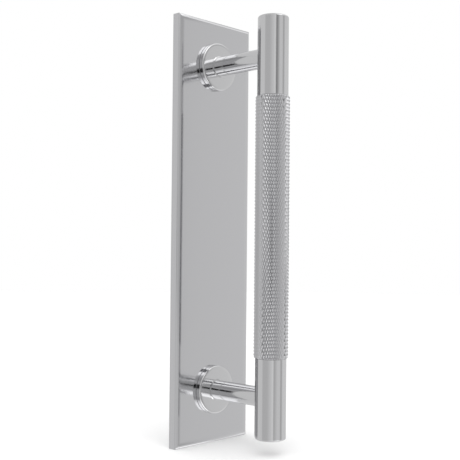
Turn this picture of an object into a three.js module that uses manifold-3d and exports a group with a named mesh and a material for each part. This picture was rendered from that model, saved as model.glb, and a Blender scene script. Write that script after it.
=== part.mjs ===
// Knurled bar pull handle on a bevelled backplate, in polished chrome, for a door.
// Millimetres, +Z up. The origin is the middle of the backplate's back face.
// The bar stands off the plate towards -Y.
import * as THREE from "three";
import { mergeVertices } from "three/addons/utils/BufferGeometryUtils.js";
import Module from "manifold-3d";

const wasm = await Module();
wasm.setup();

// Backplate
const plateWidth = 50;
const plateHeight = 209;
const plateThickness = 4.8;
const bevelWidth = 1.75;
const bevelDepth = 0.9;
const bevelBlend = 0.8;
const plateWeb = 1.6;

// Handle on the plate: the middle of the handle lies a little above the middle of the plate
const handleRise = 1.7;
const postSpacing = 160;
const barStandoff = 37.5;

// Roses
const roseDiameter = 23.6;
const roseThickness = 2.7;
const roseChamfer = 0.45;

// Posts
const postDiameter = 9.4;
const flareStep = 0.55;
const flareLength = 0.6;
const spigotShoulder = 0.7;
const spigotRecess = 0.4;
const boltBoreDiameter = 4.2;
const boltBoreDepth = 14;
const saddleGap = 0.3;

// Bar: two plain ends, each centred on its post, and the knurled grip between them
const barEndDiameter = 14.7;
const barEndLength = 37.7;
const barEndRounding = 0.9;
const barEndEdgeBreak = 0.25;

// Knurled grip: rows of four-sided diamonds between crossing helical grooves
const gripStep = 0.75;
const gripChamferLength = 0.8;
const knurlWidth = 1.5;
const knurlLength = 3.85;
const knurlDepth = 0.45;

// Core rod that the grip and both bar ends are threaded on
const barEndWall = 2.85;
const rodPastStud = 7;
const rodChamfer = 0.5;

// Studs that tie each post to its bar end and to the rod
const studDiameter = 5;
const studInPost = 8;
const studEndWall = 1.2;
const studChamfer = 0.4;

// Thin round nut and washer that clamp the plate and the rose to the post's foot
const nutWall = 2.5;
const nutChamfer = 0.3;
const nutSlotWidth = 2;
const nutSlotShare = 0.4;
const washerLip = 0.2;
const washerThickness = 0.6;
const pocketClearance = 0.8;

// Clearances
const boreClearance = 0.15;
const endClearance = 0.3;
const cutOverrun = 1;
const mergeDistance = 0.0001;

// Facets round each turned piece, and steps along each rounded edge
const roseSides = 48;
const postSides = 32;
const barSides = 40;
const boreSides = 16;
const smallSides = 20;
const roundingSteps = 3;
const blendSteps = 2;

// Places worked out from the sizes
const plateFace = -plateThickness;
const roseFace = plateFace - roseThickness;
const flareFront = roseFace - flareLength;
const barAxis = plateFace - barStandoff;
const spigotEnd = -spigotRecess;
const postHeights = [handleRise + postSpacing / 2, handleRise - postSpacing / 2];
const postRadius = postDiameter / 2;
const flareRadius = postRadius + flareStep;
const spigotRadius = postRadius - spigotShoulder;
const spigotBore = spigotRadius + boreClearance;
const nutRadius = spigotRadius + nutWall;
const washerRadius = nutRadius + washerLip;
const pocketRadius = washerRadius + pocketClearance;
const pocketFloor = plateFace + plateWeb;
const washerBack = pocketFloor + washerThickness;
const gripLength = postSpacing - barEndLength;
const gripRadius = barEndDiameter / 2 + gripStep;
const rodRadius = barEndDiameter / 2 - barEndWall;
const rodBore = rodRadius + boreClearance;
const rodInEnd = barEndLength / 2 + rodPastStud;
const rodLength = gripLength + 2 * rodInEnd;
const saddleRadius = barEndDiameter / 2 + saddleGap;
const saddleEdge = Math.sqrt(saddleRadius ** 2 - postRadius ** 2);
const studBack = barAxis + saddleRadius + studInPost;
const studFront = barAxis - rodRadius + studEndWall;
const studBore = studDiameter / 2 + boreClearance;

const quarterTurn = Math.PI / 2;
const fullTurn = Math.PI * 2;

const plateChrome = new THREE.MeshStandardMaterial({ color: 0xb9b9bb, roughness: 0.12, metalness: 1 });
const fittingChrome = new THREE.MeshStandardMaterial({ color: 0xc4c4c6, roughness: 0.08, metalness: 1 });
const knurlChrome = new THREE.MeshStandardMaterial({ color: 0xb0b0b2, roughness: 0.22, metalness: 1 });
const plainSteel = new THREE.MeshStandardMaterial({ color: 0x8e8f92, roughness: 0.4, metalness: 1 });

// A closed mesh as a solid that can be cut and joined
function solidOf(geometry) {
  const bare = geometry.clone();
  bare.deleteAttribute("normal");
  bare.deleteAttribute("uv");
  const merged = mergeVertices(bare, mergeDistance);
  const corners = merged.index.array;
  const kept = [];
  for (let first = 0; first < corners.length; first += 3) {
    const [a, b, c] = [corners[first], corners[first + 1], corners[first + 2]];
    if (a !== b && b !== c && c !== a) {
      kept.push(a, b, c);
    }
  }
  const vertProperties = new Float32Array(merged.attributes.position.array);
  const triVerts = new Uint32Array(kept);
  return new wasm.Manifold(new wasm.Mesh({ numProp: 3, vertProperties, triVerts }));
}

// A solid back to a geometry that a mesh can show
function geometryOf(solid) {
  const cut = solid.getMesh();
  const geometry = new THREE.BufferGeometry();
  geometry.setAttribute("position", new THREE.BufferAttribute(cut.vertProperties, 3));
  geometry.setIndex(new THREE.BufferAttribute(cut.triVerts, 1));
  geometry.computeVertexNormals();
  return geometry;
}

// A turned shape about Y, from [radius, place along Y] pairs that go up the outside and down the inside
function turned(profile, sides) {
  const points = profile.map(([radius, along]) => new THREE.Vector2(radius, along));
  return new THREE.LatheGeometry(points, sides);
}

// A turned ring with a bore: the same, closed on itself
function turnedRing(profile, sides) {
  return turned([...profile, profile[0]], sides);
}

// A plain round cutter along Y between two places
function roundCutter(radius, from, to, sides) {
  const cutter = new THREE.CylinderGeometry(radius, radius, to - from, sides);
  cutter.translate(0, (from + to) / 2, 0);
  return cutter;
}

// Points of a quarter round that ends a turned outside, from the side to the end face
function endRounding(radius, end, rounding) {
  const points = [];
  for (let step = 0; step <= roundingSteps; step += 1) {
    const turn = (step / roundingSteps) * quarterTurn;
    points.push([radius - rounding * (1 - Math.cos(turn)), end - rounding * (1 - Math.sin(turn))]);
  }
  return points;
}

// Backplate: a loft of rectangles up the side wall and the mitred bevel, with two stepped holes
function plateRings() {
  const slope = new THREE.Vector2(bevelWidth, -bevelDepth).normalize();
  const corner = new THREE.Vector2(bevelWidth, plateFace);
  const blendStart = corner.clone().addScaledVector(slope, -bevelBlend);
  const blendEnd = corner.clone().add(new THREE.Vector2(bevelBlend, 0));
  const blend = new THREE.QuadraticBezierCurve(blendStart, corner, blendEnd).getPoints(blendSteps);
  return [new THREE.Vector2(0, 0), new THREE.Vector2(0, plateFace + bevelDepth), ...blend];
}

function plateBlank() {
  const cornerCount = 4;
  const positions = [];
  const triangles = [];
  const rings = plateRings();
  for (const ring of rings) {
    const halfWidth = plateWidth / 2 - ring.x;
    const halfHeight = plateHeight / 2 - ring.x;
    positions.push(-halfWidth, ring.y, -halfHeight, halfWidth, ring.y, -halfHeight);
    positions.push(halfWidth, ring.y, halfHeight, -halfWidth, ring.y, halfHeight);
  }
  for (let level = 0; level < rings.length - 1; level += 1) {
    for (let side = 0; side < cornerCount; side += 1) {
      const here = level * cornerCount + side;
      const next = level * cornerCount + ((side + 1) % cornerCount);
      triangles.push(here, next, next + cornerCount, here, next + cornerCount, here + cornerCount);
    }
  }
  const front = (rings.length - 1) * cornerCount;
  for (let corner = 2; corner < cornerCount; corner += 1) {
    triangles.push(0, corner, corner - 1);
    triangles.push(front, front + corner - 1, front + corner);
  }
  const geometry = new THREE.BufferGeometry();
  geometry.setAttribute("position", new THREE.Float32BufferAttribute(positions, 3));
  geometry.setIndex(triangles);
  return geometry;
}

function backplate() {
  let plate = solidOf(plateBlank());
  for (const height of postHeights) {
    const hole = roundCutter(spigotBore, plateFace - cutOverrun, cutOverrun, smallSides);
    const pocket = roundCutter(pocketRadius, pocketFloor, cutOverrun, smallSides);
    hole.translate(0, 0, height);
    pocket.translate(0, 0, height);
    plate = plate.subtract(solidOf(hole)).subtract(solidOf(pocket));
  }
  return geometryOf(plate);
}

// Rose: a thick disc round the post's foot, with a chamfered front edge
function rose() {
  const radius = roseDiameter / 2;
  return turnedRing([
    [spigotBore, roseFace],
    [radius - roseChamfer, roseFace],
    [radius, roseFace + roseChamfer],
    [radius, plateFace],
    [spigotBore, plateFace],
  ], roseSides);
}

// Post: a turned shank with a short flare at its foot and a spigot, bored at both ends and coped to the bar
function post() {
  const shankFront = barAxis + saddleEdge - cutOverrun;
  const studBoreEnd = studBack + endClearance;
  const boltBore = boltBoreDiameter / 2;
  const boltBoreEnd = spigotEnd - boltBoreDepth;
  const shank = solidOf(turned([
    [0, studBoreEnd],
    [studBore, studBoreEnd],
    [studBore, shankFront],
    [postRadius, shankFront],
    [postRadius, flareFront],
    [flareRadius, roseFace],
    [spigotRadius, roseFace],
    [spigotRadius, spigotEnd],
    [boltBore, spigotEnd],
    [boltBore, boltBoreEnd],
    [0, boltBoreEnd],
  ], postSides));
  const saddle = roundCutter(saddleRadius, -postDiameter, postDiameter, barSides);
  saddle.rotateX(quarterTurn);
  saddle.translate(0, barAxis, 0);
  return geometryOf(shank.subtract(solidOf(saddle)));
}

// Stud: a plain pin in the post, the bar end and the rod
function stud() {
  const radius = studDiameter / 2;
  return turned([
    [0, studFront],
    [radius - studChamfer, studFront],
    [radius, studFront + studChamfer],
    [radius, studBack - studChamfer],
    [radius - studChamfer, studBack],
    [0, studBack],
  ], boreSides);
}

// Thin round nut on the spigot, with a slot across it for a spanner
function lockNut() {
  const ring = solidOf(turnedRing([
    [spigotBore, washerBack],
    [nutRadius, washerBack],
    [nutRadius, spigotEnd - nutChamfer],
    [nutRadius - nutChamfer, spigotEnd],
    [spigotBore, spigotEnd],
  ], smallSides));
  const slotDepth = (spigotEnd - washerBack) * nutSlotShare;
  const slot = new THREE.BoxGeometry(2 * nutRadius + cutOverrun, 2 * slotDepth, nutSlotWidth);
  slot.translate(0, spigotEnd, 0);
  return geometryOf(ring.subtract(solidOf(slot)));
}

// Flat washer on the floor of the pocket, under the nut
function washer() {
  return turnedRing([
    [spigotBore, pocketFloor],
    [washerRadius, pocketFloor],
    [washerRadius, washerBack],
    [spigotBore, washerBack],
  ], smallSides);
}

// Cutter for a stud's hole, square to the bar: from and to are measured from the bar's axis towards the plate
function studCutter(from, to, along) {
  const cutter = roundCutter(studBore, from, to, boreSides);
  cutter.translate(0, 0, along);
  return solidOf(cutter);
}

// Plain bar end: blind bore for the rod, stud hole on the plate side and a rounded outer end
function barEnd() {
  const radius = barEndDiameter / 2;
  const inner = gripLength / 2;
  const outer = inner + barEndLength;
  const boreEnd = inner + rodInEnd + endClearance;
  const blank = turned([
    [0, boreEnd],
    [rodBore, boreEnd],
    [rodBore, inner],
    [radius - barEndEdgeBreak, inner],
    [radius, inner + barEndEdgeBreak],
    ...endRounding(radius, outer, barEndRounding),
    [0, outer],
  ], barSides);
  blank.rotateX(quarterTurn);
  const hole = studCutter(0, barEndDiameter, postSpacing / 2);
  return geometryOf(solidOf(blank).subtract(hole));
}

// Core rod: a round rod with chamfered ends and a blind cross hole for each stud
function coreRod() {
  const half = rodLength / 2;
  const blank = turned([
    [0, -half],
    [rodRadius - rodChamfer, -half],
    [rodRadius, rodChamfer - half],
    [rodRadius, half - rodChamfer],
    [rodRadius - rodChamfer, half],
    [0, half],
  ], boreSides);
  blank.rotateX(quarterTurn);
  const holeEnd = studFront - barAxis - endClearance;
  let rod = solidOf(blank);
  for (const side of [-1, 1]) {
    rod = rod.subtract(studCutter(holeEnd, barEndDiameter, side * postSpacing / 2));
  }
  return geometryOf(rod);
}

// Knurled grip: rings of groove crossings, each ring turned half a diamond on from the last,
// with a raised point in the middle of every diamond, ends chamfered down to the grooves and
// a bore for the rod
function knurledGrip() {
  const columns = Math.round((gripRadius * fullTurn) / knurlWidth);
  const knurlSpan = gripLength - 2 * gripChamferLength;
  const rows = 2 * Math.round(knurlSpan / knurlLength);
  const rowStep = knurlSpan / rows;
  const groove = gripRadius - knurlDepth;
  const positions = [];
  const triangles = [];

  function addPoint(radius, share, along) {
    const angle = share * fullTurn;
    positions.push(radius * Math.cos(angle), radius * Math.sin(angle), along);
    return positions.length / 3 - 1;
  }

  function addRing(radius, along, count, shift) {
    const ring = [];
    for (let place = 0; place < count; place += 1) {
      ring.push(addPoint(radius, (place + shift) / count, along));
    }
    return ring;
  }

  // Joins two rings of equal count with a band of triangles that faces out when above is higher
  function addBand(below, above) {
    for (let place = 0; place < below.length; place += 1) {
      const next = (place + 1) % below.length;
      triangles.push(below[place], below[next], above[next], below[place], above[next], above[place]);
    }
  }

  const halfColumnShare = 0.5;
  const grooves = [];
  const crests = [];
  for (let row = 0; row <= rows; row += 1) {
    const along = row * rowStep - knurlSpan / 2;
    const shift = (row % 2) * halfColumnShare;
    grooves.push(addRing(groove, along, columns, shift));
    crests.push(addRing(gripRadius, along, columns, shift + halfColumnShare));
  }

  // A diamond's corner above or below its point is the groove crossing of the next row over it
  function crossing(row, column) {
    return grooves[row][(column + (row % 2 === 0 ? 1 : 0)) % columns];
  }

  for (let row = 0; row <= rows; row += 1) {
    for (let column = 0; column < columns; column += 1) {
      const left = grooves[row][column];
      const right = grooves[row][(column + 1) % columns];
      const point = crests[row][column];
      if (row < rows) {
        const above = crossing(row + 1, column);
        triangles.push(left, point, above, point, right, above);
      }
      if (row > 0) {
        const below = crossing(row - 1, column);
        triangles.push(left, below, point, below, right, point);
      }
    }
  }

  // Groove crossings and points of an end row, in turn round the grip
  function endRow(row) {
    return grooves[row].flatMap((vertex, column) => [vertex, crests[row][column]]);
  }

  const half = gripLength / 2;
  const endCount = 2 * columns;
  const lowEnd = addRing(groove, -half, endCount, 0);
  const highEnd = addRing(groove, half, endCount, 0);
  const lowBore = addRing(rodBore, -half, endCount, 0);
  const highBore = addRing(rodBore, half, endCount, 0);
  addBand(lowEnd, endRow(0));
  addBand(endRow(rows), highEnd);
  addBand(highEnd, highBore);
  addBand(highBore, lowBore);
  addBand(lowBore, lowEnd);

  const geometry = new THREE.BufferGeometry();
  geometry.setAttribute("position", new THREE.Float32BufferAttribute(positions, 3));
  geometry.setIndex(triangles);
  geometry.computeVertexNormals();
  return geometry;
}

// Assembly
const handle = new THREE.Group();

function add(parent, name, geometry, material) {
  const mesh = new THREE.Mesh(geometry, material);
  mesh.name = name;
  parent.add(mesh);
  return mesh;
}

add(handle, "backplate", backplate(), plateChrome);

const postGeometry = post();
const roseGeometry = rose();
const studGeometry = stud();
const nutGeometry = lockNut();
const washerGeometry = washer();
for (const [place, height] of [["upper", postHeights[0]], ["lower", postHeights[1]]]) {
  const mount = new THREE.Group();
  mount.position.z = height;
  add(mount, `${place}_rose`, roseGeometry, fittingChrome);
  add(mount, `${place}_post`, postGeometry, fittingChrome);
  add(mount, `${place}_post_stud`, studGeometry, plainSteel);
  add(mount, `${place}_lock_nut`, nutGeometry, plainSteel);
  add(mount, `${place}_washer`, washerGeometry, plainSteel);
  handle.add(mount);
}

const bar = new THREE.Group();
bar.position.set(0, barAxis, handleRise);
const barEndGeometry = barEnd();
add(bar, "knurled_grip", knurledGrip(), knurlChrome);
add(bar, "core_rod", coreRod(), plainSteel);
add(bar, "upper_bar_end", barEndGeometry, fittingChrome);
add(bar, "lower_bar_end", barEndGeometry, fittingChrome).rotation.y = Math.PI;
handle.add(bar);

export default handle;
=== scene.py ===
from math import cos, pi, radians, sin, sqrt, tan, tau
from typing import NamedTuple

import bmesh
import bpy
from bpy.props import FloatProperty, FloatVectorProperty, IntProperty, PointerProperty
from mathutils import Matrix, Vector


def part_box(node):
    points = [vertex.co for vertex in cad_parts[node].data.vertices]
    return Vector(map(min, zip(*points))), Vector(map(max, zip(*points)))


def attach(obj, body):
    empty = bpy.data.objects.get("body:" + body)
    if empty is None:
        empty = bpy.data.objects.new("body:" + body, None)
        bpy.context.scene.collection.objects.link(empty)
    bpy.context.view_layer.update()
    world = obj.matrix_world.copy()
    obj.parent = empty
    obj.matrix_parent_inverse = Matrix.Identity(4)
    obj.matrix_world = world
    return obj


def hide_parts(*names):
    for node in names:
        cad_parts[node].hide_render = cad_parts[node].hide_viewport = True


bl_info = {
    "name": "Knurled Pull Handle",
    "version": (1, 0, 0),
    "blender": (4, 5, 0),
    "location": "3D View > Sidebar > Pull Handle",
    "description": "Finishes a knurled bar pull handle in polished chrome around its packed model",
    "category": "Add Mesh",
}

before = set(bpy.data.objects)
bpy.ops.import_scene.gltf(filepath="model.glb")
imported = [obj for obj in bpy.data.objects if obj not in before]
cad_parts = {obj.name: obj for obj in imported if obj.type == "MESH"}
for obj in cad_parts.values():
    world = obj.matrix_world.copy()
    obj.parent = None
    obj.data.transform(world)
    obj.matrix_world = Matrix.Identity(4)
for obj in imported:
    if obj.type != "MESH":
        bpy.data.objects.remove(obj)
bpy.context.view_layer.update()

BODY = "root"
PLACES = ("upper", "lower")
MILLIMETRE = 0.001
QUARTER_TURN = pi / 2
MERGE_DISTANCE = 0.0002 * MILLIMETRE
SEAM_DISTANCE = 0.005 * MILLIMETRE
UNIT_RADIUS = 0.5

# Turns between faces from which an edge counts as sharp, for each use, and how edges are rounded
SOFTENED_TURN = radians(40)
SLAB_EDGE_TURN = radians(45)
SHADED_TURN = radians(33)
KNURL_SHADED_TURN = radians(12)
FRONT_FACING_SHARE = 0.5
SOFT_SEGMENTS = 3
NUT_SEGMENTS = 2
SLAB_SEGMENTS = 4
NORMAL_WEIGHT = 80

# Rows of the knurl's sheet past the grip, and how far past it the ends are drawn out, in rows
SPARE_ROWS = 3
END_ROWS = 2

# Texture of the finishes: scales in cycles to the metre, and limits as levels of the noise
WAVE_STRETCH = (1, 1, 0.25)
PLATE_WAVE_SCALE = 90
PLATE_WAVE_HEIGHT = 0.0012 * MILLIMETRE
FITTING_WAVE_SCALE = 160
FITTING_WAVE_HEIGHT = 0.002 * MILLIMETRE
PLATE_SMUDGE_SCALE = 45
PLATE_SMUDGE_TINT_SHARE = 0.985
FITTING_SMUDGE_SCALE = 80
FITTING_SMUDGE_TINT_SHARE = 0.98
SMUDGE_DETAIL = 4.0
SMUDGE_ROUGHNESS = 0.02
SMUDGE_ROUGH_LIMITS = (0.45, 0.75)
SMUDGE_TINT_LIMITS = (0.5, 0.8)
GRAIN_DETAIL = 3.0
KNURL_GRAIN_SCALE = 2600
KNURL_GRAIN_HEIGHT = 0.01 * MILLIMETRE
KNURL_GRAIN_STRENGTH = 0.4
KNURL_GRAIN_ROUGHNESS = 0.03
GROOVE_START_SHARE = 0.3
GROOVE_ROUGHNESS = 0.12
# Share of its colour that the knurl keeps down in its grooves: painted shade
GROOVE_SHADE_SHARE = 0.92
STEEL_GRAIN_SCALE = 4000
STEEL_GRAIN_HEIGHT = 0.008 * MILLIMETRE
STEEL_GRAIN_STRENGTH = 0.5
TARNISH_SCALE = 220
TARNISH_DETAIL = 5.0
TARNISH_ROUGHNESS = 0.15
TARNISH_ROUGH_LIMITS = (0.4, 0.75)
TARNISH_TINT_LIMITS = (0.45, 0.8)
TARNISH_TINT_SHARE = 0.72

# Sockets of the Mix node that carry colours
MIX_FROM = 6
MIX_TO = 7
MIX_RESULT = 2


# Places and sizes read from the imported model


def middle(node):
    low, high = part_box(node)
    return (low + high) / 2


def extent(node):
    low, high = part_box(node)
    return high - low


plate_low, plate_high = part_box("backplate")
plate_face = plate_low.y
plate_back = plate_high.y
rose_radius = extent("upper_rose").z / 2
rose_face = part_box("upper_rose")[0].y
flare_radius = extent("upper_post").z / 2
spigot_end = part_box("upper_post")[1].y
grip_low, grip_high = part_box("knurled_grip")
grip_radius = extent("knurled_grip").x / 2
grip_middle = middle("knurled_grip")
bar_axis = grip_middle.y
bar_radius = extent("upper_bar_end").x / 2
bar_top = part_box("upper_bar_end")[1].z
bar_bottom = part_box("lower_bar_end")[0].z
rod_radius = extent("core_rod").x / 2
rod_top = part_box("core_rod")[1].z
stud_radius = extent("upper_post_stud").z / 2
stud_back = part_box("upper_post_stud")[1].y
nut_radius = extent("upper_lock_nut").z / 2
washer_radius = extent("upper_washer").z / 2
washer_front, washer_back = (corner.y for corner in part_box("upper_washer"))
post_heights = {place: middle(f"{place}_rose").z for place in PLACES}


# Sizes, finishes and studio settings that a user can change


def length(name, description, millimetres):
    return FloatProperty(
        name=name, description=description, default=millimetres * MILLIMETRE, unit="LENGTH", precision=5
    )


def share(name, description, value):
    return FloatProperty(name=name, description=description, default=value, subtype="FACTOR", min=0, max=1)


def colour(name, description, value):
    return FloatVectorProperty(name=name, description=description, default=value, subtype="COLOR", size=3)


def number(name, description, value):
    return FloatProperty(name=name, description=description, default=value)


def whole(name, description, value):
    return IntProperty(name=name, description=description, default=value)


def point(name, description, millimetres):
    return FloatVectorProperty(
        name=name, description=description, default=[part * MILLIMETRE for part in millimetres], size=3,
        subtype="TRANSLATION", unit="LENGTH",
    )


def angle(name, description, turned_degrees):
    return FloatProperty(
        name=name, description=description, default=radians(turned_degrees), subtype="ANGLE"
    )


class PlateSettings(bpy.types.PropertyGroup):
    bevel_width: length("Bevel Width", "Width of the mitred bevel on the plate's face", 1.4)
    bevel_slope: angle("Bevel Slope", "Slope of the bevel back to the side wall", 26.6)
    crease_width: length("Crease Width", "Width of the turn from the bevel to the face", 0.2)
    polished_width: length("Polished Width", "Width that polishing has worn down inside the bevel", 1.7)
    polished_slope: angle("Polished Slope", "Slope of the worn width where it meets the bevel", 3.6)
    bevel_steps: whole("Bevel Steps", "Facets across each of the two turns", 4)
    edge_softness: length("Edge Softness", "Rounding of the plate's sharp edges", 0.2)
    pocket_clearance: length("Pocket Clearance", "Room round the washer in its pocket", 0.8)
    pocket_chamfer: length("Pocket Chamfer", "Chamfer round the mouth of each pocket", 0.3)


class TurnedSettings(bpy.types.PropertyGroup):
    sides: whole("Sides", "Facets round each turned piece", 144)
    small_sides: whole("Small Sides", "Facets round bores and small pieces", 72)
    bore_clearance: length("Bore Clearance", "Gap between a pin and its bore", 0.15)
    end_clearance: length("End Clearance", "Gap past the end of a pin in its bore", 0.3)
    edge_softness: length("Edge Softness", "Rounding of small turned edges", 0.08)
    rounding_steps: whole("Rounding Steps", "Facets across each rounding", 10)
    rose_edge_width: length("Rose Edge Width", "Width of the rounding round the face of each rose", 0.85)
    rose_edge_depth: length("Rose Edge Depth", "Depth of the same rounding", 0.6)
    rose_worn_width: length("Rose Worn Width", "Width that polishing has worn inside the rounding", 0.8)
    rose_worn_depth: length("Rose Worn Depth", "Depth of the same wear", 0.07)
    rose_foot_break: length("Rose Foot Break", "Small chamfer where the rose meets the plate", 0.22)
    post_diameter: length("Post Diameter", "Diameter of the posts", 9.4)
    flare_length: length("Flare Length", "Length of the flare at the post's foot", 0.22)
    spigot_shoulder: length("Spigot Shoulder", "Step from the post down to its spigot", 0.7)
    thread_depth: length("Thread Depth", "Depth of the thread in the bolt's bore", 0.4)
    thread_pitch: length("Thread Pitch", "Pitch of the thread in the bolt's bore", 0.8)
    spigot_chamfer: length("Spigot Chamfer", "Chamfer at the end of the spigot", 0.25)
    bolt_bore_diameter: length("Bolt Bore Diameter", "Bore in the post's foot for the door bolt", 4.2)
    bolt_bore_depth: length("Bolt Bore Depth", "Depth of the bore for the door bolt", 14)
    bolt_bore_chamfer: length("Bolt Bore Chamfer", "Chamfer at the mouth of the bolt bore", 0.35)
    saddle_bite: length("Saddle Bite", "How far the coped post is seated into the bar", 0.03)
    bar_rounding: length("Bar Rounding", "Rounding of the bar's outer ends", 0.9)
    bar_edge_break: length("Bar Edge Break", "Chamfer where the bar end meets the grip", 0.25)
    nut_chamfer: length("Nut Chamfer", "Chamfer round the back of each lock nut", 0.3)
    nut_slot_width: length("Nut Slot Width", "Width of the spanner slot", 2)
    nut_slot_share: share("Nut Slot Share", "Depth of the slot as a share of the nut's thickness", 0.4)


class KnurlSettings(bpy.types.PropertyGroup):
    columns: whole("Columns", "Diamonds round the grip", 40)
    row_height: length("Row Height", "Height of a diamond along the grip, tip to tip", 3.253)
    row_drop: length("Row Drop", "How far the rows are moved down along the grip", 0.1)
    row_turn: angle("Row Turn", "How far the rows are turned about the bar's axis", 1.35)
    depth: length("Depth", "Height of a diamond over its grooves", 0.45)
    crest_share: share("Crest Share", "Flat tip of a diamond as a share of its width", 0.1)
    groove_share: share("Groove Share", "Flat floor of a groove as a share of a diamond's width", 0.05)
    chamfer_length: length("Chamfer Length", "Length of the chamfer at each end of the grip", 0.6)


class FinishSettings(bpy.types.PropertyGroup):
    chrome: colour("Chrome", "Reflected colour of the polished chrome", (0.556, 0.556, 0.56))
    chrome_roughness: share("Chrome Roughness", "Roughness of the polished chrome", 0.012)
    knurl_roughness: share("Knurl Roughness", "Roughness of the plated knurl", 0.03)
    steel: colour("Steel", "Reflected colour of the plain steel", (0.42, 0.42, 0.43))
    steel_roughness: share("Steel Roughness", "Roughness of the plain steel", 0.34)


class StudioSettings(bpy.types.PropertyGroup):
    camera_place: point("Camera Place", "Where the lens stands", (-306.6, -305.94, -9.12))
    camera_azimuth: angle("Camera Azimuth", "Turn of the view about the vertical", -46.538)
    camera_pitch: angle("Camera Pitch", "Rise of the view", 1.296)
    camera_roll: angle("Camera Roll", "Roll of the view", 0.518)
    camera_lens: number("Camera Lens", "Focal length for a 36 mm sensor", 67.564)
    clip_start: length("Clip Start", "Nearest that the camera sees", 10)
    floor_radius: length("Floor Radius", "Radius of the pale floor", 1500)
    floor_sides: whole("Floor Sides", "Sides of the pale floor", 128)
    floor_colour: colour("Floor Colour", "Colour of the pale floor", (0.93, 0.93, 0.93))
    background: number("Background", "Level of the white background", 1.0)
    wall_level: number("Wall Level", "Level of the studio's walls in reflections", 0.84)
    fill_level: number("Fill Level", "Level of the studio's light on dull surfaces", 1.1)
    lens_width: length("Lens Width", "Width of the dark camera in reflections", 140)
    lens_height: length("Lens Height", "Height of the dark camera in reflections", 122)
    lens_level: number("Lens Level", "Level of the dark camera in reflections", 0.0)
    lens_sides: whole("Lens Sides", "Sides of the dark oval", 48)
    key_place: point("Key Place", "Where the key light hangs", (-500, -700, 900))
    key_size: length("Key Size", "Width of the key light", 1100)
    key_energy: number("Key Energy", "Power of the key light in watts", 5)


# Light and dark panels of the studio that the chrome mirrors, each painted over the ones before it


class StudioPanel(NamedTuple):
    """Edges in degrees: turn is measured from -Y towards +X, and rise from level, above and below alike.

    A panel that lies only above or only below level says so in side.
    """

    left: float
    right: float
    low: float
    high: float
    level: float
    left_blend: float = 5
    right_blend: float = 5
    rise_blend: float = 4
    side: str = "both"


STUDIO_PANELS = {
    "left shade": StudioPanel(-111, -61, -90, 34, level=0.66, right_blend=36, rise_blend=10),
    "left glow": StudioPanel(-41, -28, -90, 24, level=0.93, right_blend=3),
    "lower strip": StudioPanel(-28, -12, -90, 28, level=0.58, left_blend=3, right_blend=36, side="below"),
    "upper strip": StudioPanel(-28, -12, -4, 28, level=0.3, left_blend=3, right_blend=36, side="above"),
    "right gap": StudioPanel(26, 41, -90, 24, level=0.58),
    "right panel": StudioPanel(48, 76, -90, 14, level=0.9),
    "shelf gap": StudioPanel(14, 66, 17.5, 23.5, level=0.55, rise_blend=3),
    "upper side light": StudioPanel(5, 90, 27, 62, level=1.25, rise_blend=12, side="above"),
    "lower side light": StudioPanel(5, 90, 22, 35, level=1.3, side="below"),
    "lower edge light": StudioPanel(66, 90, 35, 58, level=1.2, side="below"),
    "upper window": StudioPanel(-26, 10, 25, 36, level=1.3, side="above"),
    "left window": StudioPanel(-52, -30, 28, 37, level=0.66),
    "lower left light": StudioPanel(-62, -18, 36, 50, level=1.6, left_blend=12, side="below"),
    "soft box": StudioPanel(-20, 31, 35, 51, level=2.5, left_blend=16, rise_blend=8),
    "top light": StudioPanel(-35, 50, 54, 72, level=1.5, rise_blend=6, side="above"),
}


# Shader maths: a number in a socket, used in plain sums


class Signal:
    """A number or colour carried by a socket. Each operator adds the Math node that it stands for."""

    def __init__(self, shader, socket):
        self.shader = shader
        self.socket = socket

    def maths(self, operation, *inputs):
        node = self.shader.node("ShaderNodeMath", {"operation": operation}, dict(enumerate(inputs)))
        return self.shader.out(node, 0)

    def __add__(self, other):
        return self.maths("ADD", self, other)

    def __sub__(self, other):
        return self.maths("SUBTRACT", self, other)

    def __rsub__(self, other):
        return self.maths("SUBTRACT", other, self)

    def __mul__(self, other):
        return self.maths("MULTIPLY", self, other)

    __radd__ = __add__
    __rmul__ = __mul__

    def size(self):
        return self.maths("ABSOLUTE", self)

    def root(self):
        return self.maths("SQRT", self)


class Shader:
    """The node tree of a material or of the world, emptied and ready for new nodes."""

    def __init__(self, owner, output):
        owner.use_nodes = True
        self.tree = owner.node_tree
        self.tree.nodes.clear()
        self.output = self.tree.nodes.new(output)

    def node(self, kind, settings=None, sockets=None):
        """Any node: its type, its settings, which are set first, and the values or links of its sockets"""
        node = self.tree.nodes.new(kind)
        for name, value in (settings or {}).items():
            setattr(node, name, value)
        for name, value in (sockets or {}).items():
            if isinstance(value, Signal):
                self.tree.links.new(value.socket, node.inputs[name])
            else:
                node.inputs[name].default_value = value
        return node

    def out(self, node, name):
        return Signal(self, node.outputs[name])

    def finish(self, node, name, socket="Surface"):
        self.tree.links.new(node.outputs[name], self.output.inputs[socket])

    def smooth_step(self, value, start, end, low=0.0, high=1.0):
        """low before start, high after end, and smooth between them"""
        node = self.node(
            "ShaderNodeMapRange",
            {"interpolation_type": "SMOOTHSTEP"},
            {"Value": value, "From Min": start, "From Max": end, "To Min": low, "To Max": high},
        )
        return self.out(node, "Result")

    def noise(self, place, scale, detail=2.0):
        node = self.node("ShaderNodeTexNoise", {}, {"Vector": place, "Scale": scale, "Detail": detail})
        return self.out(node, "Fac")

    def stretched(self, place, scale):
        """Object coordinates, stretched by a scale along each axis"""
        node = self.node("ShaderNodeMapping", {}, {"Vector": place, "Scale": scale})
        return self.out(node, "Vector")

    def apart(self, vector):
        node = self.node("ShaderNodeSeparateXYZ", {}, {"Vector": vector})
        return [self.out(node, name) for name in ("X", "Y", "Z")]


# Modelling helpers


def start_piece():
    """Leaves nothing selected, because an operator acts on all that is selected"""
    if bpy.context.mode != "OBJECT":
        bpy.ops.object.mode_set(mode="OBJECT")
    bpy.ops.object.select_all(action="DESELECT")


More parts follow.
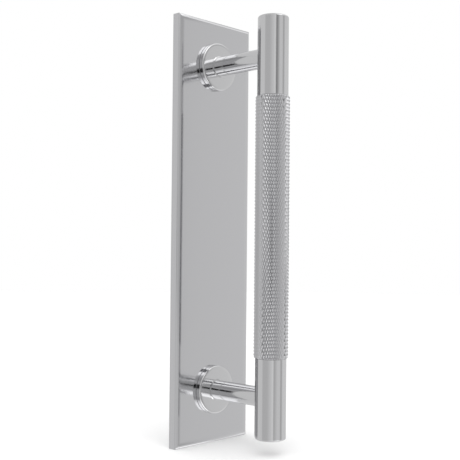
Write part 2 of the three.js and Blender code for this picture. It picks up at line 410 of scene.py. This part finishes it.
def take(piece):
    """Makes a piece the only one selected, and the active one"""
    start_piece()
    piece.select_set(True)
    bpy.context.view_layer.objects.active = piece


def named(name):
    """Names the active object and its mesh, with its place in its mesh"""
    piece = bpy.context.active_object
    piece.name = name
    piece.data.name = name
    bpy.ops.object.transform_apply(location=True, rotation=True, scale=True)
    return piece


def edit(mode="EDGE"):
    bpy.ops.object.mode_set(mode="EDIT")
    bpy.ops.mesh.select_mode(type=mode)


def pick(piece, parts, test):
    """In edit mode: selects only the faces or edges that pass a test"""
    bpy.ops.mesh.select_all(action="DESELECT")
    mesh = bmesh.from_edit_mesh(piece.data)
    for part in getattr(mesh, parts):
        if test(part):
            part.select_set(True)
    bmesh.update_edit_mesh(piece.data)


def leave_edit():
    bpy.ops.object.mode_set(mode="OBJECT")


def turned(name, profile, sides, centre, axis="Y"):
    """A turned piece: a ring at the profile's first point, extruded and scaled on to each next point.

    The profile holds pairs of radius and place along the axis, measured from the frame's origin. One that
    comes back to its first point closes on itself, and any other gets a cap at both ends.
    """
    along = Vector((0, 1, 0)) if axis == "Y" else Vector((0, 0, 1))
    turn = (QUARTER_TURN, 0, 0) if axis == "Y" else (0, 0, 0)
    base = Vector(centre)
    base -= base.dot(along) * along
    radius, place = profile[0]
    start_piece()
    bpy.ops.mesh.primitive_circle_add(
        vertices=sides, radius=radius, fill_type="NOTHING", location=base + place * along, rotation=turn
    )
    piece = named(name)
    edit()
    bpy.ops.mesh.select_all(action="SELECT")
    for next_radius, next_place in profile[1:]:
        step = (next_place - place) * along
        bpy.ops.mesh.extrude_edges_move(TRANSFORM_OT_translate={"value": step})
        growth = next_radius / radius
        if growth != 1:
            value = [1 if part else growth for part in along]
            bpy.ops.transform.resize(value=value, center_override=base + next_place * along)
        radius, place = next_radius, next_place
    if profile[-1] == profile[0]:
        bpy.ops.mesh.select_all(action="SELECT")
        bpy.ops.mesh.remove_doubles(threshold=MERGE_DISTANCE)
        bpy.ops.mesh.normals_make_consistent(inside=False)
    else:
        cap_ends()
    leave_edit()
    return piece


def quarter_round(face_point, side_point, steps):
    """A profile's points round a corner, level with its face at the first and its side at the last"""
    (face_radius, face_place), (side_radius, side_place) = face_point, side_point
    points = []
    for step in range(steps + 1):
        turn = QUARTER_TURN * step / steps
        radius = face_radius + (side_radius - face_radius) * sin(turn)
        points.append((radius, side_place + (face_place - side_place) * cos(turn)))
    return points


def cap_ends():
    """In edit mode: fills the open ring at each end of a turned piece"""
    bpy.ops.mesh.select_all(action="DESELECT")
    bpy.ops.mesh.select_non_manifold(extend=False)
    bpy.ops.mesh.fill_holes(sides=0)
    bpy.ops.mesh.select_all(action="SELECT")
    bpy.ops.mesh.normals_make_consistent(inside=False)


def apply_modifier(piece, kind, **settings):
    take(piece)
    modifier = piece.modifiers.new(kind.title(), kind)
    for name, value in settings.items():
        setattr(modifier, name, value)
    bpy.ops.object.modifier_apply(modifier=modifier.name)


def combine(piece, tool, operation, solver="EXACT"):
    """Cuts a piece with a tool, or keeps what they share, and takes the tool away"""
    apply_modifier(piece, "BOOLEAN", operation=operation, object=tool, solver=solver)
    bpy.data.objects.remove(tool)


def soften(piece, width, segments=SOFT_SEGMENTS):
    """Rounds a piece's sharp edges"""
    apply_modifier(
        piece, "BEVEL", width=width, segments=segments, limit_method="ANGLE", angle_limit=SOFTENED_TURN,
        use_clamp_overlap=True, miter_outer="MITER_SHARP",
    )


def shade(piece, sharpest=SHADED_TURN):
    """Smooth shading that keeps flat faces flat and true edges sharp"""
    take(piece)
    bpy.ops.object.shade_smooth_by_angle(angle=sharpest)
    apply_modifier(piece, "WEIGHTED_NORMAL", keep_sharp=True, weight=NORMAL_WEIGHT)


def settle(piece, node, material):
    """Puts a finished piece on its body, in place of its node, in its material"""
    piece.data.materials.clear()
    piece.data.materials.append(material)
    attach(piece, BODY)
    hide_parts(node)


# Materials


def object_place(shader):
    return shader.out(shader.node("ShaderNodeTexCoord"), "Object")


def new_material(name):
    material = bpy.data.materials.new(name)
    return material, Shader(material, "ShaderNodeOutputMaterial")


def metal(shader, base, roughness, normal):
    """The metal's own shader, with links for what varies"""
    sockets = {"Base Color": base, "Metallic": 1.0, "Roughness": roughness, "Normal": normal}
    shader.finish(shader.node("ShaderNodeBsdfPrincipled", {}, sockets), "BSDF")


def bump(shader, height, distance, strength=1.0):
    sockets = {"Height": height, "Distance": distance, "Strength": strength}
    node = shader.node("ShaderNodeBump", {}, sockets)
    return shader.out(node, "Normal")


def tinted(shader, base, mask, darkest):
    """A metal's colour, down to a share of itself where the mask is 1"""
    dark = [part * darkest for part in base]
    node = shader.node(
        "ShaderNodeMix", {"data_type": "RGBA"}, {"Factor": mask, MIX_FROM: (*base, 1), MIX_TO: (*dark, 1)}
    )
    return shader.out(node, MIX_RESULT)


def smudged_chrome(shader, finish, smudges, tint_share, normal):
    """Polished chrome that is a little duller and darker where it is smudged"""
    dulled = shader.smooth_step(smudges, *SMUDGE_ROUGH_LIMITS)
    roughness = finish.chrome_roughness + SMUDGE_ROUGHNESS * dulled
    mask = shader.smooth_step(smudges, *SMUDGE_TINT_LIMITS)
    metal(shader, tinted(shader, finish.chrome, mask, tint_share), roughness, normal)


def plate_chrome(finish):
    """Flat polished chrome: mirror-bright, with faint polishing waves and soft smudges"""
    material, shader = new_material("plate_chrome")
    place = object_place(shader)
    waves = shader.noise(shader.stretched(place, WAVE_STRETCH), PLATE_WAVE_SCALE)
    smudges = shader.noise(place, PLATE_SMUDGE_SCALE, SMUDGE_DETAIL)
    smudged_chrome(shader, finish, smudges, PLATE_SMUDGE_TINT_SHARE, bump(shader, waves, PLATE_WAVE_HEIGHT))
    return material


def fitting_chrome(finish):
    """Turned polished chrome: the same finish with finer waves and smudges"""
    material, shader = new_material("fitting_chrome")
    place = object_place(shader)
    smudges = shader.noise(place, FITTING_SMUDGE_SCALE, SMUDGE_DETAIL)
    waves = shader.noise(place, FITTING_WAVE_SCALE)
    normal = bump(shader, waves, FITTING_WAVE_HEIGHT)
    smudged_chrome(shader, finish, smudges, FITTING_SMUDGE_TINT_SHARE, normal)
    return material


def knurl_chrome(finish, knurl):
    """Chrome over the knurl: rougher down in the grooves, where polishing doesn't reach, and darker there as
    painted shade
    """
    material, shader = new_material("knurl_chrome")
    place = object_place(shader)
    across, towards, along = shader.apart(place)
    from_axis = towards - bar_axis
    radius = (across * across + from_axis * from_axis).root()
    floor = grip_radius - knurl.depth
    depth = shader.smooth_step(radius, grip_radius - GROOVE_START_SHARE * knurl.depth, floor)
    grain = shader.noise(place, KNURL_GRAIN_SCALE, GRAIN_DETAIL)
    roughness = finish.knurl_roughness + GROOVE_ROUGHNESS * depth + KNURL_GRAIN_ROUGHNESS * grain
    normal = bump(shader, grain, KNURL_GRAIN_HEIGHT, KNURL_GRAIN_STRENGTH)
    # The colour is darkened down in the grooves by the same mask: painted shade
    metal(shader, tinted(shader, finish.chrome, depth, GROOVE_SHADE_SHARE), roughness, normal)
    return material


def plain_steel(finish):
    """Plain steel: dull, with a fine grain and a little tarnish"""
    material, shader = new_material("plain_steel")
    place = object_place(shader)
    tarnish = shader.noise(place, TARNISH_SCALE, TARNISH_DETAIL)
    grain = shader.noise(place, STEEL_GRAIN_SCALE, GRAIN_DETAIL)
    dulled = shader.smooth_step(tarnish, *TARNISH_ROUGH_LIMITS)
    roughness = finish.steel_roughness + TARNISH_ROUGHNESS * dulled
    mask = shader.smooth_step(tarnish, *TARNISH_TINT_LIMITS)
    normal = bump(shader, grain, STEEL_GRAIN_HEIGHT, STEEL_GRAIN_STRENGTH)
    metal(shader, tinted(shader, finish.steel, mask, TARNISH_TINT_SHARE), roughness, normal)
    return material


class HANDLE_OT_materials(bpy.types.Operator):
    """Makes the four finishes of the handle"""

    bl_idname = "pull_handle.materials"
    bl_label = "Finishes"

    def execute(self, context):
        finish = context.scene.handle_finish
        plate_chrome(finish)
        fitting_chrome(finish)
        knurl_chrome(finish, context.scene.handle_knurl)
        plain_steel(finish)
        return {"FINISHED"}


# Pieces


class HANDLE_OT_backplate(bpy.types.Operator):
    """Models the backplate: a flat slab with a mitred bevel, two stepped holes and pockets behind"""

    bl_idname = "pull_handle.backplate"
    bl_label = "Backplate"

    def execute(self, context):
        plate = context.scene.handle_plate
        turning = context.scene.handle_turned
        steps = self.bevel_steps(plate)
        bevel_foot = plate_face + sum(width * tan(slope) for width, slope in steps)
        size = Vector((plate_high.x - plate_low.x, plate_back - bevel_foot, plate_high.z - plate_low.z))
        centre = (plate_low + plate_high) / 2
        centre.y = (plate_back + bevel_foot) / 2
        start_piece()
        bpy.ops.mesh.primitive_cube_add(size=1, location=centre, scale=size)
        slab = named("plate_polished")
        self.raise_bevel(slab, plate, steps)
        for place in PLACES:
            self.drill(slab, plate, turning, post_heights[place])
        shade(slab)
        settle(slab, "backplate", bpy.data.materials["plate_chrome"])
        return {"FINISHED"}

    def bevel_steps(self, plate):
        """Widths and slopes across the bevel, from the side wall in to the flat face"""
        steps = [(plate.bevel_width, plate.bevel_slope)]
        turns = [
            (plate.crease_width, plate.bevel_slope, plate.polished_slope),
            (plate.polished_width, plate.polished_slope, 0),
        ]
        for width, start, end in turns:
            for step in range(plate.bevel_steps):
                middle_share = (2 * step + 1) / (2 * plate.bevel_steps)
                steps.append((width / plate.bevel_steps, start + (end - start) * middle_share))
        return steps

    def raise_bevel(self, slab, plate, steps):
        """Insets and raises the front face step by step, which leaves the bevel, and rounds the edges"""
        edit("FACE")
        pick(slab, "faces", lambda face: face.normal.y < -FRONT_FACING_SHARE)
        for width, slope in steps:
            bpy.ops.mesh.inset(thickness=width, depth=width * tan(slope))
        bpy.ops.mesh.select_mode(type="EDGE")
        bpy.ops.mesh.select_all(action="DESELECT")
        bpy.ops.mesh.edges_select_sharp(sharpness=SLAB_EDGE_TURN)
        bpy.ops.mesh.bevel(offset=plate.edge_softness, segments=SLAB_SEGMENTS, affect="EDGES")
        leave_edit()

    def drill(self, slab, plate, turning, height):
        """Takes out the spigot's hole and the pocket behind it, with a chamfered mouth"""
        hole = turning.post_diameter / 2 - turning.spigot_shoulder + turning.bore_clearance
        pocket = washer_radius + plate.pocket_clearance
        mouth = pocket + plate.pocket_chamfer
        overrun = plate.bevel_width
        drill = turned(
            "drill",
            [
                (hole, plate_face - overrun),
                (hole, washer_front),
                (pocket, washer_front),
                (pocket, plate_back - plate.pocket_chamfer),
                (mouth, plate_back),
                (mouth, plate_back + overrun),
            ],
            turning.small_sides,
            (0, 0, height),
        )
        combine(slab, drill, "DIFFERENCE")


class HANDLE_OT_roses(bpy.types.Operator):
    """Turns the two roses: thick discs, rounded round the face"""

    bl_idname = "pull_handle.roses"
    bl_label = "Roses"

    def execute(self, context):
        turning = context.scene.handle_turned
        bore = turning.post_diameter / 2 - turning.spigot_shoulder + turning.bore_clearance
        worn_face = rose_face + turning.rose_worn_depth
        face_edge = (rose_radius - turning.rose_edge_width, worn_face)
        side_edge = (rose_radius, worn_face + turning.rose_edge_depth)
        profile = [
            (bore, rose_face),
            (face_edge[0] - turning.rose_worn_width, rose_face),
            *quarter_round(face_edge, side_edge, turning.rounding_steps),
            (rose_radius, plate_face - turning.rose_foot_break),
            (rose_radius - turning.rose_foot_break, plate_face),
            (bore, plate_face),
            (bore, rose_face),
        ]
        for place in PLACES:
            disc = turned(f"{place}_rose_polished", profile, turning.sides, (0, 0, post_heights[place]))
            soften(disc, turning.edge_softness)
            shade(disc)
            settle(disc, f"{place}_rose", bpy.data.materials["fitting_chrome"])
        return {"FINISHED"}


class HANDLE_OT_posts(bpy.types.Operator):
    """Turns the two posts, copes them to the bar and threads their feet"""

    bl_idname = "pull_handle.posts"
    bl_label = "Posts"

    def execute(self, context):
        turning = context.scene.handle_turned
        for place in PLACES:
            centre = (0, 0, post_heights[place])
            shank = turned(f"{place}_post_polished", self.profile(turning), turning.sides, centre)
            saddle = turned(
                "saddle",
                [
                    (bar_radius - turning.saddle_bite, centre[2] - 2 * flare_radius),
                    (bar_radius - turning.saddle_bite, centre[2] + 2 * flare_radius),
                ],
                turning.sides,
                (0, bar_axis, 0),
                "Z",
            )
            combine(shank, saddle, "DIFFERENCE")
            shade(shank)
            settle(shank, f"{place}_post", bpy.data.materials["fitting_chrome"])
        return {"FINISHED"}

    def profile(self, turning):
        """From the stud's bore over the shank and its flare to the spigot, and into the bolt's bore"""
        radius = turning.post_diameter / 2
        spigot = radius - turning.spigot_shoulder
        stud_bore = stud_radius + turning.bore_clearance
        bolt_chamfer = turning.bolt_bore_chamfer
        bolt_bore = turning.bolt_bore_diameter / 2
        return [
            (stud_bore, stud_back + turning.end_clearance),
            (stud_bore, bar_axis),
            (radius, bar_axis),
            (radius, rose_face - turning.flare_length),
            (flare_radius, rose_face),
            (spigot, rose_face),
            (spigot, spigot_end - turning.spigot_chamfer),
            (spigot - turning.spigot_chamfer, spigot_end),
            (bolt_bore + bolt_chamfer, spigot_end),
            *self.thread(bolt_bore, turning, spigot_end - bolt_chamfer),
            (bolt_bore, spigot_end - turning.bolt_bore_depth),
        ]

    def thread(self, radius, turning, start):
        """Crests and roots of the thread in the bolt's bore, down from its mouth"""
        turns = int((turning.bolt_bore_depth - turning.bolt_bore_chamfer) / turning.thread_pitch) - 1
        points = []
        for turn in range(turns):
            crest = start - turn * turning.thread_pitch
            points += [(radius, crest), (radius + turning.thread_depth, crest - turning.thread_pitch / 2)]
        return [*points, (radius, start - turns * turning.thread_pitch)]


class HANDLE_OT_bar_ends(bpy.types.Operator):
    """Turns the two plain ends of the bar, with a blind bore for the rod and a hole for the stud"""

    bl_idname = "pull_handle.bar_ends"
    bl_label = "Bar Ends"

    def execute(self, context):
        turning = context.scene.handle_turned
        ends = {"upper": (grip_high.z, bar_top, 1), "lower": (grip_low.z, bar_bottom, -1)}
        for place, (inner, outer, way) in ends.items():
            name = f"{place}_bar_end_polished"
            profile = self.profile(turning, inner, outer, way)
            end = turned(name, profile, turning.sides, (0, bar_axis, 0), "Z")
            hole = turned(
                "hole",
                [
                    (stud_radius + turning.bore_clearance, bar_axis),
                    (stud_radius + turning.bore_clearance, bar_axis + 2 * bar_radius),
                ],
                turning.small_sides,
                (0, 0, post_heights[place]),
            )
            combine(end, hole, "DIFFERENCE")
            shade(end)
            settle(end, f"{place}_bar_end", bpy.data.materials["fitting_chrome"])
        return {"FINISHED"}

    def profile(self, turning, inner, outer, way):
        """From the bottom of the rod's bore, over the inner edge and along the outside to the rounded end"""
        bore = rod_radius + turning.bore_clearance
        rod_reach = rod_top - grip_high.z + turning.end_clearance
        edge = turning.bar_edge_break
        rounding = turning.bar_rounding
        outer_edge = quarter_round(
            (bar_radius - rounding, outer), (bar_radius, outer - way * rounding), turning.rounding_steps
        )
        return [
            (bore, inner + way * rod_reach),
            (bore, inner),
            (bar_radius - edge, inner),
            (bar_radius, inner + way * edge),
            *reversed(outer_edge),
        ]


class HANDLE_OT_knurled_grip(bpy.types.Operator):
    """Models one diamond of the knurl, repeats it into a flat sheet, rolls that up and turns its ends"""

    bl_idname = "pull_handle.knurled_grip"
    bl_label = "Knurled Grip"

    def execute(self, context):
        knurl = context.scene.handle_knurl
        turning = context.scene.handle_turned
        width = tau * (grip_radius - knurl.depth) / knurl.columns
        height = knurl.row_height
        grip = self.diamond(knurl, width, height)
        self.repeat(grip, knurl, width, height)
        self.roll(grip, knurl, height)
        blank = self.blank(knurl, turning)
        combine(grip, blank, "INTERSECT", "MANIFOLD")
        shade(grip, KNURL_SHADED_TURN)
        settle(grip, "knurled_grip", bpy.data.materials["knurl_chrome"])
        return {"FINISHED"}

    def diamond(self, knurl, width, height):
        """One diamond, flat in X and Z, raised towards -Y between its four grooves"""
        start_piece()
        bpy.ops.mesh.primitive_circle_add(
            vertices=4, radius=UNIT_RADIUS, fill_type="NGON", rotation=(QUARTER_TURN, 0, 0)
        )
        bpy.context.active_object.scale = (width, height, 1)
        cell = named("grip_knurled")
        half_across = 1 / sqrt((2 / width) ** 2 + (2 / height) ** 2)
        groove = half_across * knurl.groove_share
        crest = half_across * (1 - knurl.crest_share)
        edit("FACE")
        bpy.ops.mesh.select_all(action="SELECT")
        bpy.ops.mesh.inset(thickness=groove, depth=0)
        bpy.ops.mesh.inset(thickness=crest - groove, depth=0)
        bpy.ops.transform.translate(value=(0, -knurl.depth, 0))
        leave_edit()
        return cell

    def repeat(self, grip, knurl, width, height):
        """A sheet of diamonds, each row half a diamond on from the last, past both ends of the grip"""
        steps = [(2, (width / 2, 0, height / 2)), (knurl.columns, (width, 0, 0))]
        rows = int((grip_high.z - grip_low.z) / height) + SPARE_ROWS
        steps.append((rows, (0, 0, height)))
        for copies, step in steps:
            apply_modifier(
                grip, "ARRAY", count=copies, use_relative_offset=False, use_constant_offset=True,
                constant_offset_displace=step,
            )

    def roll(self, grip, knurl, height):
        """Rolls the sheet up about the bar's axis, and closes the seam and both ends of the tube"""
        floor = grip_radius - knurl.depth
        rolled = tau * (2 * knurl.columns + 1) / (2 * knurl.columns)
        apply_modifier(grip, "SIMPLE_DEFORM", deform_method="BEND", deform_axis="Z", angle=rolled)
        take(grip)
        edit("EDGE")
        bpy.ops.mesh.select_all(action="SELECT")
        shift = (0, bar_axis - floor, grip_low.z - height - knurl.row_drop)
        bpy.ops.transform.translate(value=shift)
        centre = (0, bar_axis, 0)
        bpy.ops.transform.rotate(value=-knurl.row_turn, orient_axis="Z", center_override=centre)
        bpy.ops.mesh.remove_doubles(threshold=SEAM_DISTANCE)
        bpy.ops.mesh.normals_make_consistent(inside=False)
        for way, reach in ((1, grip_high.z), (-1, grip_low.z)):
            self.close_end(grip, way, reach + way * END_ROWS * height)
        bpy.ops.mesh.select_all(action="SELECT")
        bpy.ops.mesh.normals_make_consistent(inside=False)
        leave_edit()

    def close_end(self, grip, way, place):
        """In edit mode: draws one open zigzag end out to a flat cap"""
        bpy.ops.mesh.select_all(action="DESELECT")
        bpy.ops.mesh.select_non_manifold(extend=False)
        mesh = bmesh.from_edit_mesh(grip.data)
        for edge in mesh.edges:
            if edge.select:
                edge.select_set(way * (edge.verts[0].co.z - grip_middle.z) > 0)
        bmesh.update_edit_mesh(grip.data)
        bpy.ops.mesh.extrude_edges_move()
        bpy.ops.transform.resize(value=(1, 1, 0), center_override=(0, bar_axis, place))
        bpy.ops.mesh.edge_face_add()

    def blank(self, knurl, turning):
        """The turned blank that the knurl is kept to: a bored tube with chamfered ends"""
        outside = grip_radius + knurl.depth
        end = grip_radius - knurl.depth
        slope = knurl.depth / knurl.chamfer_length
        reach = (outside - end) / slope
        bore = rod_radius + turning.bore_clearance
        profile = [
            (bore, grip_low.z),
            (end, grip_low.z),
            (outside, grip_low.z + reach),
            (outside, grip_high.z - reach),
            (end, grip_high.z),
            (bore, grip_high.z),
            (bore, grip_low.z),
        ]
        return turned("blank", profile, turning.sides, (0, bar_axis, 0), "Z")


class HANDLE_OT_rear_fixings(bpy.types.Operator):
    """Turns the washers and the slotted lock nuts behind the plate"""

    bl_idname = "pull_handle.rear_fixings"
    bl_label = "Rear Fixings"

    def execute(self, context):
        turning = context.scene.handle_turned
        bore = turning.post_diameter / 2 - turning.spigot_shoulder + turning.bore_clearance
        for place in PLACES:
            centre = Vector((0, 0, post_heights[place]))
            washer = turned(
                f"{place}_washer_flat",
                [
                    (bore, washer_front),
                    (washer_radius, washer_front),
                    (washer_radius, washer_back),
                    (bore, washer_back),
                    (bore, washer_front),
                ],
                turning.small_sides,
                centre,
            )
            soften(washer, turning.edge_softness)
            shade(washer)
            settle(washer, f"{place}_washer", bpy.data.materials["plain_steel"])
            nut = self.lock_nut(f"{place}_lock_nut_slotted", turning, bore, centre)
            settle(nut, f"{place}_lock_nut", bpy.data.materials["plain_steel"])
        return {"FINISHED"}

    def lock_nut(self, name, turning, bore, centre):
        """A thin round nut, chamfered behind, with a slot across it for a spanner"""
        chamfer = turning.nut_chamfer
        nut = turned(
            name,
            [
                (bore, washer_back),
                (nut_radius, washer_back),
                (nut_radius, spigot_end - chamfer),
                (nut_radius - chamfer, spigot_end),
                (bore + chamfer, spigot_end),
                (bore, spigot_end - chamfer),
                (bore, washer_back),
            ],
            turning.small_sides,
            centre,
        )
        depth = (spigot_end - washer_back) * turning.nut_slot_share
        start_piece()
        bpy.ops.mesh.primitive_cube_add(
            size=1,
            location=centre + Vector((0, spigot_end, 0)),
            scale=(3 * nut_radius, 2 * depth, turning.nut_slot_width),
        )
        slot = named("slot")
        combine(nut, slot, "DIFFERENCE")
        soften(nut, turning.edge_softness, NUT_SEGMENTS)
        shade(nut)
        return nut


class HANDLE_OT_inner_steel(bpy.types.Operator):
    """Gives the rod and the studs inside the bar their steel"""

    bl_idname = "pull_handle.inner_steel"
    bl_label = "Inner Steel"

    def execute(self, context):
        for node in ("core_rod", "upper_post_stud", "lower_post_stud"):
            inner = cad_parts[node]
            inner.data.materials.clear()
            inner.data.materials.append(bpy.data.materials["plain_steel"])
        return {"FINISHED"}


# Studio


class HANDLE_OT_stage(bpy.types.Operator):
    """Sets the pale floor, the studio round the handle, the key light and the camera"""

    bl_idname = "pull_handle.stage"
    bl_label = "Stage"

    def execute(self, context):
        studio = context.scene.handle_studio
        context.scene.view_settings.view_transform = "Standard"
        self.surroundings(context, studio)
        self.floor(studio)
        self.key_light(studio)
        self.lens_card(studio)
        self.camera(context, studio)
        return {"FINISHED"}

    def surroundings(self, context, studio):
        """White to the camera, the studio's panels to what mirrors them, and a plain level to the rest"""
        world = bpy.data.worlds.new("studio")
        context.scene.world = world
        shader = Shader(world, "ShaderNodeOutputWorld")
        direction = shader.out(shader.node("ShaderNodeTexCoord"), "Generated")
        across, towards, upwards = shader.apart(direction)
        turn = across.maths("ARCTAN2", across, 0 - towards)
        rise = upwards.maths("ARCSINE", upwards)
        mirrored = studio.wall_level
        for panel in STUDIO_PANELS.values():
            painted = self.panel_share(shader, panel, turn, rise)
            mirrored = painted * panel.level + (1 - painted) * mirrored
        light_path = shader.node("ShaderNodeLightPath")
        seen = shader.out(light_path, "Is Camera Ray")
        in_metal = shader.out(light_path, "Is Glossy Ray") + shader.out(light_path, "Is Transmission Ray")
        level = in_metal * mirrored + (1 - in_metal) * studio.fill_level
        level = seen * studio.background + (1 - seen) * level
        background = shader.node("ShaderNodeBackground", {}, {"Color": (1, 1, 1, 1), "Strength": level})
        shader.finish(background, "Background")

    def panel_share(self, shader, panel, turn, rise):
        """1 on a panel of the studio, 0 off it, and smooth over its edges"""
        height = {"both": rise.size(), "above": rise, "below": 0 - rise}[panel.side]
        edges = [
            (turn, panel.left, panel.left_blend),
            (turn, panel.right, -panel.right_blend),
            (height, panel.low, panel.rise_blend),
            (height, panel.high, -panel.rise_blend),
        ]
        painted = 1
        for value, edge, blend in edges:
            start = radians(edge - blend / 2)
            painted = painted * shader.smooth_step(value, start, radians(edge + blend / 2))
        return painted

    def floor(self, studio):
        """A round floor under the plate's lower edge, which keeps the handle's shadow"""
        start_piece()
        bpy.ops.mesh.primitive_circle_add(
            vertices=studio.floor_sides,
            radius=studio.floor_radius,
            fill_type="NGON",
            location=(0, 0, plate_low.z),
        )
        floor = named("studio_floor")
        material, shader = new_material("studio_floor")
        sockets = {"Base Color": (*studio.floor_colour, 1), "Roughness": 1.0}
        shader.finish(shader.node("ShaderNodeBsdfPrincipled", {}, sockets), "BSDF")
        floor.data.materials.append(material)
        floor.visible_glossy = False

    def key_light(self, studio):
        """One wide soft lamp above and to the left, for the shadow alone"""
        start_piece()
        bpy.ops.object.light_add(type="AREA", location=studio.key_place)
        lamp = bpy.context.active_object
        lamp.name = "key_light"
        lamp.data.size = studio.key_size
        lamp.data.energy = studio.key_energy
        lamp.rotation_euler = (-lamp.location).to_track_quat("-Z", "Y").to_euler()
        lamp.visible_glossy = False

    def lens_card(self, studio):
        """A dark oval where the camera stands, which the handle mirrors and the camera doesn't see"""
        start_piece()
        place = Vector(studio.camera_place)
        bpy.ops.mesh.primitive_circle_add(
            vertices=studio.lens_sides, radius=UNIT_RADIUS, fill_type="NGON"
        )
        card = bpy.context.active_object
        card.name = "lens_card"
        card.scale = (studio.lens_width, studio.lens_height, 1)
        card.rotation_euler = (grip_middle - place).to_track_quat("Z", "Y").to_euler()
        card.location = place
        material, shader = new_material("lens_card")
        sockets = {"Color": (1, 1, 1, 1), "Strength": studio.lens_level}
        shader.finish(shader.node("ShaderNodeEmission", {}, sockets), "Emission")
        card.data.materials.append(material)
        card.visible_camera = False
        card.visible_diffuse = False
        card.visible_shadow = False

    def camera(self, context, studio):
        """The camera at the photograph's angle"""
        turn, pitch, roll = studio.camera_azimuth, studio.camera_pitch, studio.camera_roll
        ahead = Vector((-sin(turn) * cos(pitch), cos(turn) * cos(pitch), sin(pitch)))
        level_right = Vector((cos(turn), sin(turn), 0))
        level_up = level_right.cross(ahead)
        right = level_right * cos(roll) + level_up * sin(roll)
        up = level_up * cos(roll) - level_right * sin(roll)
        start_piece()
        bpy.ops.object.camera_add()
        camera = bpy.context.active_object
        camera.name = "camera"
        rotation = Matrix((right, up, -ahead)).transposed()
        camera.matrix_world = Matrix.Translation(studio.camera_place) @ rotation.to_4x4()
        camera.data.lens = studio.camera_lens
        camera.data.clip_start = studio.clip_start
        context.scene.camera = camera


class HANDLE_PT_sidebar(bpy.types.Panel):
    """Lists the settings and the steps of the pull handle"""

    bl_idname = "HANDLE_PT_sidebar"
    bl_label = "Pull Handle"
    bl_space_type = "VIEW_3D"
    bl_region_type = "UI"
    bl_category = "Pull Handle"

    def draw(self, context):
        for name in SETTINGS:
            settings = getattr(context.scene, name)
            box = self.layout.box()
            for setting in settings.bl_rna.properties:
                if not setting.is_readonly:
                    box.prop(settings, setting.identifier)
        for step in STEPS:
            self.layout.operator(step.bl_idname)


SETTINGS = {
    "handle_plate": PlateSettings,
    "handle_turned": TurnedSettings,
    "handle_knurl": KnurlSettings,
    "handle_finish": FinishSettings,
    "handle_studio": StudioSettings,
}
STEPS = (
    HANDLE_OT_materials,
    HANDLE_OT_backplate,
    HANDLE_OT_roses,
    HANDLE_OT_posts,
    HANDLE_OT_bar_ends,
    HANDLE_OT_knurled_grip,
    HANDLE_OT_rear_fixings,
    HANDLE_OT_inner_steel,
    HANDLE_OT_stage,
)


def register():
    for kind in (*SETTINGS.values(), *STEPS, HANDLE_PT_sidebar):
        bpy.utils.register_class(kind)
    for name, kind in SETTINGS.items():
        setattr(bpy.types.Scene, name, PointerProperty(type=kind))


def unregister():
    for name in SETTINGS:
        delattr(bpy.types.Scene, name)
    for kind in reversed((*SETTINGS.values(), *STEPS, HANDLE_PT_sidebar)):
        bpy.utils.unregister_class(kind)


def main():
    register()
    bpy.ops.pull_handle.materials()
    bpy.ops.pull_handle.backplate()
    bpy.ops.pull_handle.roses()
    bpy.ops.pull_handle.posts()
    bpy.ops.pull_handle.bar_ends()
    bpy.ops.pull_handle.knurled_grip()
    bpy.ops.pull_handle.rear_fixings()
    bpy.ops.pull_handle.inner_steel()
    bpy.ops.pull_handle.stage()


if __name__ == "__main__":
    main()
